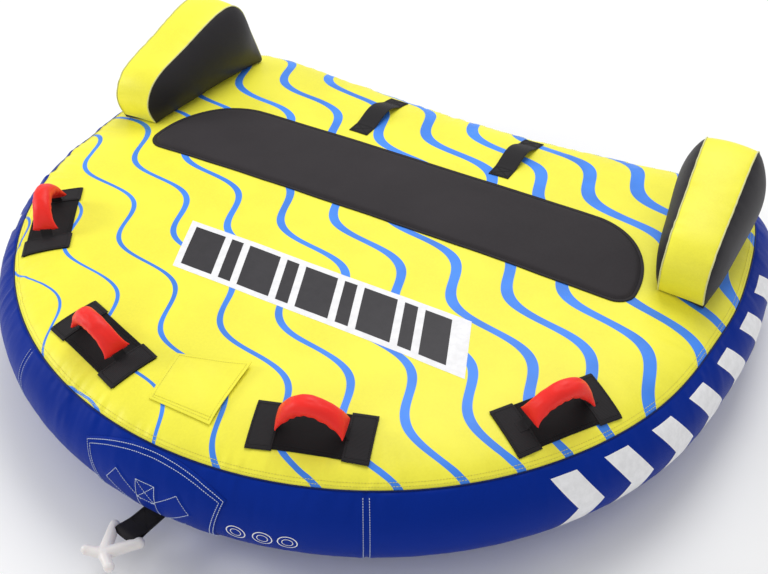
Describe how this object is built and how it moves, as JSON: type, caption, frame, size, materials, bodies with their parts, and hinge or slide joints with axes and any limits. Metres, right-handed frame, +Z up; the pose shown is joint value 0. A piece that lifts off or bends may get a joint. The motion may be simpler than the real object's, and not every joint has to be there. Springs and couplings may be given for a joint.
{
  "type": "towable tube",
  "caption": "Round-nosed deck tube towed behind a boat: inflated bladder in a sewn cover with seat pad, grab handles, side bolsters and a tow hook.",
  "frame": {"origin": "bottom centre of the whole object's box, on the floor under the deck", "axes": "-Y is the towing direction, out of the nose; +X is to the right seen from the nose's front; +Z up from the floor panel"},
  "size_m": [1.7099, 1.54, 0.4781],
  "materials": {
    "deck_fabric": "matte",
    "side_fabric": "matte",
    "floor_fabric": "matte",
    "black_piping": "matte",
    "bladder_vinyl": "satin",
    "valve_plastic": "satin",
    "hook_tape": "matte",
    "pad_neoprene": "matte",
    "pad_foam": "matte",
    "nose_fabric": "matte",
    "black_webbing": "matte",
    "hook_plastic": "satin",
    "zip_tape": "matte",
    "zip_teeth": "matte",
    "zip_metal": "satin",
    "bolster_black": "matte",
    "bolster_yellow": "matte",
    "handle_patch": "matte",
    "handle_foam": "matte",
    "red_sleeve": "satin"
  },
  "bodies": {
    "deck": {"top_cover": "deck_fabric", "side_cover_front": "side_fabric", "side_cover_left": "side_fabric", "side_cover_right": "side_fabric", "side_cover_rear": "side_fabric", "bottom_cover": "floor_fabric", "top_piping": "black_piping", "main_bladder": "bladder_vinyl", "valve_base": "valve_plastic", "valve_insert": "valve_plastic", "flap_hook_tape": "hook_tape", "seat_pad_cover": "pad_neoprene", "seat_pad_foam": "pad_foam", "nose_patch": "nose_fabric", "tow_harness": "black_webbing", "zip_tape": "zip_tape", "zip_teeth": "zip_teeth", "rear_strap_left": "black_webbing", "bolster_left_inner_side": "bolster_black", "bolster_left_outer_side": "bolster_black", "bolster_left_gusset": "bolster_yellow", "bolster_left_bladder": "bladder_vinyl", "rear_strap_right": "black_webbing", "bolster_right_inner_side": "bolster_black", "bolster_right_outer_side": "bolster_black", "bolster_right_gusset": "bolster_yellow", "bolster_right_bladder": "bladder_vinyl", "handle_front_right_patch": "handle_patch", "handle_front_right_bands": "black_webbing", "handle_front_left_patch": "handle_patch", "handle_front_left_bands": "black_webbing", "handle_side_right_patch": "handle_patch", "handle_side_right_bands": "black_webbing", "handle_side_left_patch": "handle_patch", "handle_side_left_bands": "black_webbing"},
    "valve_cap": {"valve_cap": "valve_plastic"},
    "valve_flap": {"valve_flap": "deck_fabric", "flap_loop_tape": "hook_tape"},
    "tow_strap": {"tow_strap": "black_webbing"},
    "tow_hook": {"tow_hook": "hook_plastic"},
    "zip_slider": {"zip_slider": "zip_metal"},
    "zip_pull": {"zip_pull": "zip_metal"},
    "handle_front_right": {"handle_front_right_webbing": "black_webbing", "handle_front_right_core": "handle_foam", "handle_front_right_sleeve": "red_sleeve"},
    "handle_front_left": {"handle_front_left_webbing": "black_webbing", "handle_front_left_core": "handle_foam", "handle_front_left_sleeve": "red_sleeve"},
    "handle_side_right": {"handle_side_right_webbing": "black_webbing", "handle_side_right_core": "handle_foam", "handle_side_right_sleeve": "red_sleeve"},
    "handle_side_left": {"handle_side_left_webbing": "black_webbing", "handle_side_left_core": "handle_foam", "handle_side_left_sleeve": "red_sleeve"}
  },
  "joints": [
    {"name": "tow_strap_swing", "type": "hinge", "parent": "deck", "child": "tow_strap", "pos_m": [-0.022, -0.608, 0.062], "axis": [-0.9877, 0.1564, 0], "range_deg": [-18, 15], "stiffness_Nm_per_rad": 4},
    {"name": "tow_hook_pivot", "type": "hinge", "parent": "tow_strap", "child": "tow_hook", "pos_m": [-0.03451, -0.68702, 0.062], "axis": [-0.9877, 0.1564, 0], "range_deg": [-40, 50]},
    {"name": "handle_front_right_flop", "type": "hinge", "parent": "deck", "child": "handle_front_right", "pos_m": [0.24255, -0.45946, 0.28693], "axis": [0.9453, 0.3261, -0.0039], "range_deg": [-30, 30], "stiffness_Nm_per_rad": 0.6},
    {"name": "handle_front_left_flop", "type": "hinge", "parent": "deck", "child": "handle_front_left", "pos_m": [-0.24255, -0.45946, 0.28693], "axis": [0.9453, -0.3261, 0.0039], "range_deg": [-30, 30], "stiffness_Nm_per_rad": 0.6},
    {"name": "handle_side_right_flop", "type": "hinge", "parent": "deck", "child": "handle_side_right", "pos_m": [0.60769, -0.19207, 0.28273], "axis": [0.5443, 0.8389, -0.0025], "range_deg": [-30, 30], "stiffness_Nm_per_rad": 0.6},
    {"name": "handle_side_left_flop", "type": "hinge", "parent": "deck", "child": "handle_side_left", "pos_m": [-0.60769, -0.19207, 0.28273], "axis": [0.5443, -0.8389, 0.0025], "range_deg": [-30, 30], "stiffness_Nm_per_rad": 0.6},
    {"name": "valve_flap_open", "type": "hinge", "parent": "deck", "child": "valve_flap", "pos_m": [0, -0.5342, 0.27431], "axis": [1, 0, 0], "range_deg": [0, 140]},
    {"name": "valve_cap_turn", "type": "hinge", "parent": "deck", "child": "valve_cap", "pos_m": [-0.009, -0.461, 0.2806], "axis": [-0.0012, -0.0827, 0.9966], "range_deg": [0, 450]},
    {"name": "zip_slider_slide", "type": "slide", "parent": "deck", "child": "zip_slider", "axis": [-1, 0, 0], "range_m": [0, 0.62]},
    {"name": "zip_pull_flip", "type": "hinge", "parent": "zip_slider", "child": "zip_pull", "pos_m": [0.3165, 0.459, 0.00095], "axis": [0, -1, 0], "range_deg": [0, 110]}
  ]
}
